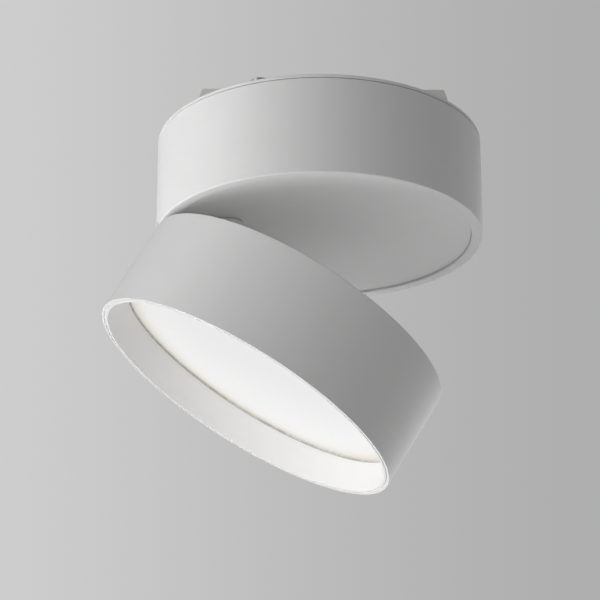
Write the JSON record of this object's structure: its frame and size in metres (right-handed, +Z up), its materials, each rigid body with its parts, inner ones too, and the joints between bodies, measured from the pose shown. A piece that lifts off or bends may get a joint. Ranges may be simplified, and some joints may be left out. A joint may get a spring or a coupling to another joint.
{
  "type": "track spotlight",
  "caption": "White surface-track LED spotlight: a short driver drum under a track adapter, with an equal drum-shaped head hinged to its edge and opened like a clamshell.",
  "frame": {"origin": "centre of the adapter's seat, the flat face that bears on the underside of the track", "axes": "+Z up, out of the seat into the track; X along the track; the hinge between the drums is parallel to Y, on the -X side at rest"},
  "size_m": [0.1688, 0.146, 0.1888],
  "materials": {
    "white_paint": "fine matt powder coat",
    "white_plastic": "satin moulded",
    "opal": "satin opal, lit from behind",
    "black_plastic": "matt moulded",
    "rubber": "matt",
    "grey_rubber": "matt silicone",
    "steel": "zinc plated",
    "aluminium": "extruded, plain",
    "copper": "spring copper",
    "circuit_board": "green solder mask",
    "led_white": "white solder mask",
    "cable": "matt sheath"
  },
  "bodies": {
    "adapter": {"adapter_housing": "white_plastic", "adapter_floor": "white_plastic", "floor_screw_1": "steel", "floor_screw_2": "steel", "stop_pin": "steel", "adapter_terminal": "black_plastic", "live_lead": "cable", "neutral_lead": "cable", "earth_contact": "copper", "swivel_bush": "black_plastic"},
    "latch": {"latch_knob": "white_plastic", "latch_lug": "steel", "latch_screw": "steel"},
    "contacts": {"contact_knob": "black_plastic", "live_contact": "copper", "neutral_contact": "copper"},
    "base": {"base_shell": "white_paint", "base_cover": "white_paint", "base_plate": "white_paint", "swivel_stem": "steel", "stem_rivet_1": "steel", "stem_rivet_2": "steel", "stop_washer": "steel", "spring_washer": "steel", "stem_nut": "steel", "cover_screw_1": "steel", "cover_screw_2": "steel", "cover_screw_3": "steel", "driver_tray": "black_plastic", "driver_board": "circuit_board", "transformer": "black_plastic", "capacitor_1": "black_plastic", "capacitor_2": "black_plastic", "supply_terminal": "white_plastic", "supply_lead": "cable", "base_grommet": "rubber", "hinge_base_leaf": "white_paint", "base_leaf_screw_1": "steel", "base_leaf_screw_2": "steel", "hinge_pin": "steel", "hinge_washer_1": "steel", "hinge_washer_2": "steel"},
    "head": {"head_shell": "white_paint", "head_plate": "white_paint", "hinge_head_leaf": "white_paint", "head_leaf_screw_1": "steel", "head_leaf_screw_2": "steel", "head_screw_1": "steel", "head_screw_2": "steel", "head_screw_3": "steel", "heat_sink": "aluminium", "led_board": "led_white", "board_screw_1": "steel", "board_screw_2": "steel", "board_screw_3": "steel", "reflector_cone": "white_plastic", "diffuser": "opal", "diffuser_gasket": "grey_rubber", "front_baffle": "white_paint", "head_grommet": "rubber"}
  },
  "joints": [
    {"name": "latch_turn", "type": "hinge", "parent": "adapter", "child": "latch", "pos_m": [-0.027, 0, 0], "axis": [0, 0, 1], "range_deg": [0, 90]},
    {"name": "contact_turn", "type": "hinge", "parent": "adapter", "child": "contacts", "pos_m": [0.027, 0, 0], "axis": [0, 0, 1], "range_deg": [0, 90]},
    {"name": "base_swivel", "type": "hinge", "parent": "adapter", "child": "base", "pos_m": [0, 0, -0.021], "axis": [0, 0, 1], "range_deg": [-165, 165]},
    {"name": "head_tilt", "type": "hinge", "parent": "base", "child": "head", "pos_m": [-0.0691, 0, -0.0677], "axis": [0, 1, 0], "range_deg": [-30.6, 22.4]}
  ]
}
